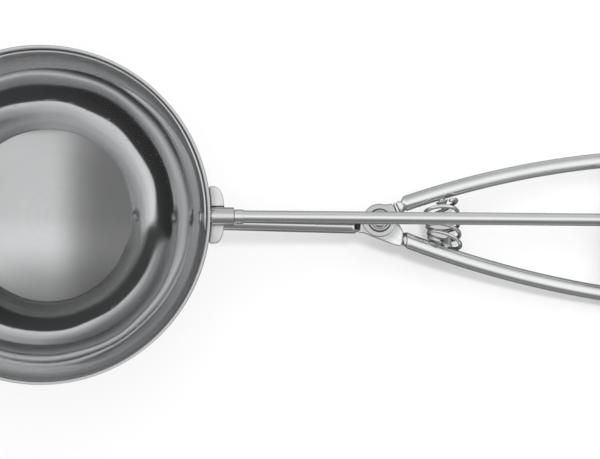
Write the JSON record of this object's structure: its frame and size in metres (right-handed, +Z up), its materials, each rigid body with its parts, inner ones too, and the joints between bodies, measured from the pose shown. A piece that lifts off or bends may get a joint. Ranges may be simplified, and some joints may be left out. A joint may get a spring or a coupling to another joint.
{
  "type": "ice cream scoop",
  "caption": "Squeeze-handle ice cream scoop: polished half-sphere bowl, wiper blade turned by a rack and pinion, forged handles and a coil return spring.",
  "frame": {"origin": "centre of the scoop's box on the table it lies on", "axes": "+X from the bowl to the handle tips, +Z up; the bowl's mouth leans 11 degrees from +Z towards +X, as the scoop lies"},
  "size_m": [0.285, 0.1104, 0.0699],
  "materials": {
    "polished_steel": "mirror-polished stainless steel",
    "rod_steel": "bright polished stainless rod with faint drawing lines",
    "satin_steel": "satin stainless steel",
    "brushed_steel": "stainless strip with grinding lines along its length",
    "spring_wire": "bright drawn spring wire",
    "machined_steel": "machined steel, dull sheen"
  },
  "bodies": {
    "frame": {"bowl": "polished_steel", "bowl_saddle": "satin_steel", "shaft_ferrule": "satin_steel", "nose_pin": "polished_steel", "fixed_handle": "rod_steel", "pivot_rivet": "polished_steel", "pivot_washer": "satin_steel", "return_spring": "spring_wire", "spring_peg_fixed": "machined_steel", "bearing_cage": "satin_steel", "cage_rivet_front": "machined_steel", "cage_rivet_rear": "machined_steel"},
    "squeeze_lever": {"squeeze_handle": "rod_steel", "spring_peg_squeeze": "machined_steel", "drive_rack": "machined_steel", "rack_rivet_front": "machined_steel", "rack_rivet_rear": "machined_steel"},
    "wiper": {"wiper_shaft": "rod_steel", "wiper_blade": "brushed_steel", "shaft_washer": "machined_steel", "nose_washer": "machined_steel", "drive_pinion": "machined_steel", "pinion_pin": "machined_steel", "shaft_end_clip": "machined_steel"}
  },
  "joints": [
    {"name": "squeeze", "type": "hinge", "parent": "frame", "child": "squeeze_lever", "pos_m": [0.02013, -0.00078, 0.02587], "axis": [0.1916, 0, 0.9815], "range_deg": [-8, 0], "stiffness_Nm_per_rad": 3, "springref_deg": 5.73, "deforming": ["return_spring"]},
    {"name": "wiper_turn", "type": "hinge", "parent": "frame", "child": "wiper", "pos_m": [-0.08664, 0, 0.05517], "axis": [0.9815, 0, -0.1916], "range_deg": [-155, 0]}
  ],
  "couplings": [
    {"joint": "wiper_turn", "follows": "squeeze", "ratio": 19.333}
  ]
}
